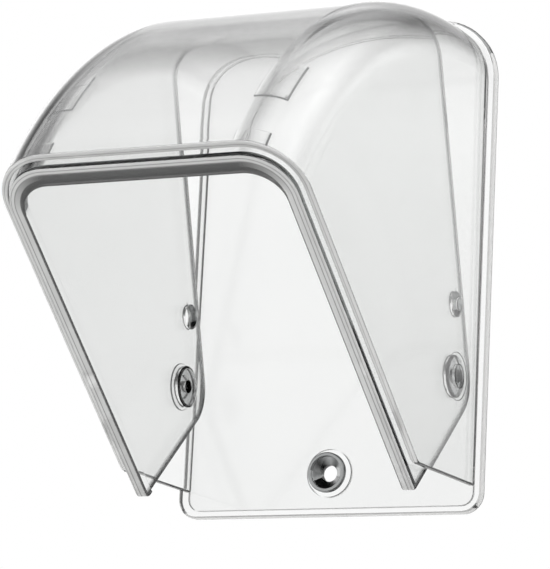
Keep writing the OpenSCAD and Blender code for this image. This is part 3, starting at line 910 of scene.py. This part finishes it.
def edge_faces(o, sizes, foot, mouth, side):
    """Gives the mouth's edge and the other edges of a moulding their own materials, most darkened by painted
    shade.

    The mouth's edge: faces close to the mouth plane. Other edges: faces that turn away from the wall they
    belong to, which is the plate, or the rounded box about the roof's axis. The rings about the pivot, the
    plate's sides and the walls of the pad's recess have their own looks, and the catch stays plain.
    """
    c, n = face_values(o, "center") / MM, face_values(o, "normal")
    of_plate = c[:, 1] > PLATE_FACE
    wall = wall_normals(c, sizes)
    wall[of_plate] = (0, 1, 0)
    turned_away = np.abs((wall * n).sum(1)) < WALL_TURN
    border_x, border_z = np.abs(c[:, 0]) > PLATE_HALF_WIDTH - BORDER, np.abs(c[:, 2] - PLATE_HEIGHT / 2)
    in_border = border_x | (border_z > PLATE_HEIGHT / 2 - BORDER)
    from_screw = np.linalg.norm(c[:, [0, 2]] - SCREW, axis=1)
    in_recess = turned_away & (c[:, 1] > RECESS_FACE) & ~in_border & (from_screw > HOLE_RING)
    turned_away &= np.linalg.norm(c[:, 1:] - CATCH, axis=1) > CATCH_RING
    kind = np.where((foot - c[:, 1:]) @ MOUTH_OUT < MOUTH_NEAR, 3, np.where(turned_away, 1, 0))
    kind[turned_away & (np.linalg.norm(c[:, 1:] - PIVOT, axis=1) < PIVOT_RING)] = 2
    kind[(from_screw < SEAT_RING) & (c[:, 1] < SEAT_FACE)] = 1
    kind[in_recess] = 5
    kind[turned_away & of_plate & in_border] = 4
    set_looks(o, kind, side, pin_edge_shade, mouth, plate_edge_shade_line, recess_edge)


def dress(o, m):
    """Gives a piece its material and the record's slot for it."""
    o.data.materials.clear()
    o.data.materials.append(m)


dress(housing, shell_clear)
dress(visor, visor_clear)
dress(pad, film)
edge_faces(housing, HOOD, WING_FOOT, hood_edge_shade_lines, housing_edge_shade)
edge_faces(visor, VISOR, VISOR_FOOT, visor_edge_shade_lines, visor_side_edge_shade)
for pin in pins:
    dress(pin, pin_clear)
    set_looks(pin, np.abs(face_values(pin, "normal")[:, 0]) < PIN_TURN, pin_edge_shade)
set_looks(pad, np.abs(face_values(pad, "normal")[:, 1]) < FILM_TURN, recess_edge)
for name, m in (("housing", shell_clear), ("visor", visor_clear), ("pivot_pin_left", pin_clear),
                ("pivot_pin_right", pin_clear), ("adhesive_pad", film)):
    nodes[name].data.materials.clear()
    nodes[name].data.materials.append(m)


# Camera: the photo's view, in degrees and metres, and the lens in millimetres
VIEW_TURN, VIEW_RISE, VIEW_ROLL, VIEW_DISTANCE = 26.04, -11.77, 2.7, 0.653
VIEW_AIM = (0.0033, -0.0356, 0.0382)
SENSOR_WIDTH, LENS = 36.0, 223.35
CLIP_NEAR, CLIP_FAR = 0.01, 50.0


def aimed(turn, rise, roll, distance, aim):
    """A camera's place: turned from the front towards +X, risen and rolled, so far from what it looks at."""
    a, e, r = (math.radians(v) for v in (turn, rise, roll))
    back = np.array([math.sin(a) * math.cos(e), -math.cos(a) * math.cos(e), math.sin(e)])
    level = np.array([math.cos(a), math.sin(a), 0.0])
    right = math.cos(r) * level + math.sin(r) * np.cross(back, level)
    place = np.eye(4)
    place[:3] = np.stack([right, np.cross(back, right), back, np.array(aim) + distance * back], 1)
    return Matrix(place)


cam_data = bpy.data.cameras.new("photo_camera")
cam_data.sensor_width, cam_data.lens = SENSOR_WIDTH, LENS
cam_data.clip_start, cam_data.clip_end = CLIP_NEAR, CLIP_FAR
cam = placed("photo_camera", cam_data)
cam.matrix_world = aimed(VIEW_TURN, VIEW_RISE, VIEW_ROLL, VIEW_DISTANCE, VIEW_AIM)
scene.camera = cam

# Light turns back many times inside a clear wall before it leaves
BOUNCES = 40
scene.cycles.max_bounces = scene.cycles.glossy_bounces = scene.cycles.transmission_bounces = BOUNCES


# Studio: each wall's turn from the view, and its soft boxes and dark flags as stops of height and strength
SHADED = ((-1.0, 0.75), (0.0, 0.85), (0.12, 0.4), (0.25, 0.4), (0.42, 0.0), (0.82, 0.0), (1.0, 1.15))
MIRRORED = {
    "sweep": (0, ((-1.0, 0.75), (0.12, 0.85), (0.42, 1.45), (0.62, 0.65), (0.82, 0.0), (1.0, 2.4))),
    "sweep_right": (30, ((-0.35, 0.75), (0.0, 0.35), (0.12, 0.35), (0.25, 1.15), (0.42, 0.0), (0.62, 0.0),
        (0.82, 1.1), (1.0, 2.4))),
    "right": (75, ((-0.35, 0.75), (0.12, 0.35), (0.25, 1.15), (0.42, 2.4))),
    "front_right": (130, ((-0.35, 0.75), (0.12, 0.7), (0.62, 2.4))),
    "front": (180, ((-1.0, 0.75), (0.25, 0.85), (0.42, 1.15), (0.82, 2.4))),
    "front_left": (230, ((-0.35, 0.75), (0.0, 0.35), (0.25, 0.35), (0.42, 0.5), (0.82, 2.4))),
    "left": (285, ((-1.0, 0.75), (0.12, 0.8), (0.62, 1.6), (0.82, 2.4))),
    "sweep_left": (330, ((-1.0, 0.75), (0.0, 1.0), (0.25, 1.1), (0.42, 1.7), (0.62, 0.2), (0.82, 1.2),
        (1.0, 2.4))),
}
SEEN_THROUGH = {
    "sweep": (0, ((-0.35, 0.75), (0.12, 1.05), (0.25, 1.1), (0.42, 0.1), (0.62, 1.15), (0.82, 0.05),
        (1.0, 1.15))),
    "sweep_right": (30, ((-1.0, 0.75), (0.12, 0.85), (0.42, 1.15), (0.62, 0.0), (0.82, 0.0), (1.0, 1.15))),
    "right": (75, ((-0.35, 0.75), (0.0, 1.15), (0.12, 0.85), (0.25, 0.85), (0.42, 1.15))),
    "front_right": (130, ((-0.35, 0.75), (0.0, 1.15), (0.12, 1.15), (0.25, 0.85), (0.42, 0.4), (0.82, 0.15),
        (1.0, 1.15))),
    "front": (180, ((-0.35, 0.75), (0.0, 0.85), (0.12, 0.4), (0.82, 0.0), (1.0, 1.15))),
    "front_left": (230, SHADED),
    "left": (285, SHADED),
    "sweep_left": (330, ((-1.0, 0.75), (0.0, 0.85), (0.12, 0.4), (0.25, 0.4), (0.42, 0.0), (0.62, 0.0),
        (0.82, 0.8), (1.0, 1.15))),
}
FILL_GREY = (0.85, 0.85, 0.85, 1.0)


def studio_light(tree, turn, height, walls):
    """Light from each direction: every wall's ramp over height, mixed between neighbours by the turn."""
    total, turns = None, [at / 360 for at, _ in walls.values()]
    for k, (at, stops) in enumerate(walls.values()):
        at /= 360
        before, after = turns[k - 1], turns[(k + 1) % len(turns)]
        ends = [(0.0, 1.0), (1.0, 1.0)] if at == 0 else [(0.0, 0.0), (1.0, 0.0), (at, 1.0)]
        near = grey_ramp(tree, turn, sorted(set(ends + [(p, 0.0) for p in (before, after) if p > 0])))
        wall = grey_ramp(tree, height, [(z * 0.5 + 0.5, light) for z, light in stops])
        part = math_node(tree, "MULTIPLY", near, wall)
        total = part if total is None else math_node(tree, "ADD", total, part)
    return total


world = bpy.data.worlds.new("studio")
scene.world = world
world.use_nodes = True
sky = world.node_tree
sky.nodes.clear()
sky_out = sky.nodes.new("ShaderNodeOutputWorld")
sky_light = sky.nodes.new("ShaderNodeBackground")
sky.links.new(sky_light.outputs["Background"], sky_out.inputs["Surface"])
way_x, way_y, way_z = xyz(sky, sky.nodes.new("ShaderNodeTexCoord").outputs["Generated"])
height = math_node(sky, "MULTIPLY_ADD", way_z, 0.5, 0.5)
turn = math_node(sky, "ARCTAN2", way_y, way_x)
turn = math_node(sky, "FRACT", math_node(sky, "MULTIPLY_ADD", turn, -0.5 / math.pi, (90.0 + VIEW_TURN) / 360))
ray = sky.nodes.new("ShaderNodeLightPath")
look = mix_color(sky, ray.outputs["Is Transmission Ray"], studio_light(sky, turn, height, MIRRORED),
                 studio_light(sky, turn, height, SEEN_THROUGH))
look = mix_color(sky, ray.outputs["Is Diffuse Ray"], look, FILL_GREY)
look = mix_color(sky, ray.outputs["Is Camera Ray"], look, WHITE)
sky.links.new(look, sky_light.inputs["Color"])


# Stage: a pale floor well below the cover, and two large soft lamps, in metres and watts
FLOOR_REACH, FLOOR_Z = 4, -0.30
FLOOR_GREY, FLOOR_DRIFT, FLOOR_ROUGH = (0.84, 0.84, 0.835, 1), (0.87, 0.87, 0.865, 1), 0.7
LAMP_AIM = (0, -0.03, 0.05)

floor_mesh = bpy.data.meshes.new("floor")
floor_corners = [(FLOOR_REACH * x, FLOOR_REACH * y, FLOOR_Z) for x, y in ((-1, -1), (1, -1), (1, 1), (-1, 1))]
floor_mesh.from_pydata(floor_corners, [], [(0, 1, 2, 3)])
floor = placed("floor", floor_mesh)
floor_mat, tree, shader, _ = new_material("pale_floor")
socket(shader, "Roughness", FLOOR_ROUGH)
patches = noise(tree, on_piece(tree), scale=3.0, detail=3.0)
tree.links.new(mix_color(tree, patches, FLOOR_GREY, FLOOR_DRIFT), shader.inputs["Base Color"])
floor_mesh.materials.append(floor_mat)


def lamp(name, place, size, watts):
    """A square soft lamp at a place, facing the cover; glass mirrors it and isn't seen through onto it."""
    data = bpy.data.lights.new(name, "AREA")
    data.size, data.energy = size, watts
    o = placed(name, data)
    o.location = place
    o.rotation_euler = (Vector(LAMP_AIM) - Vector(place)).to_track_quat("-Z", "Y").to_euler()
    o.visible_transmission = False
    o.visible_camera = False


lamp("lamp_front_left", (-0.9, -1.3, 1.0), size=0.9, watts=5.0)
lamp("lamp_right", (1.3, -0.6, 0.7), size=0.8, watts=3.0)
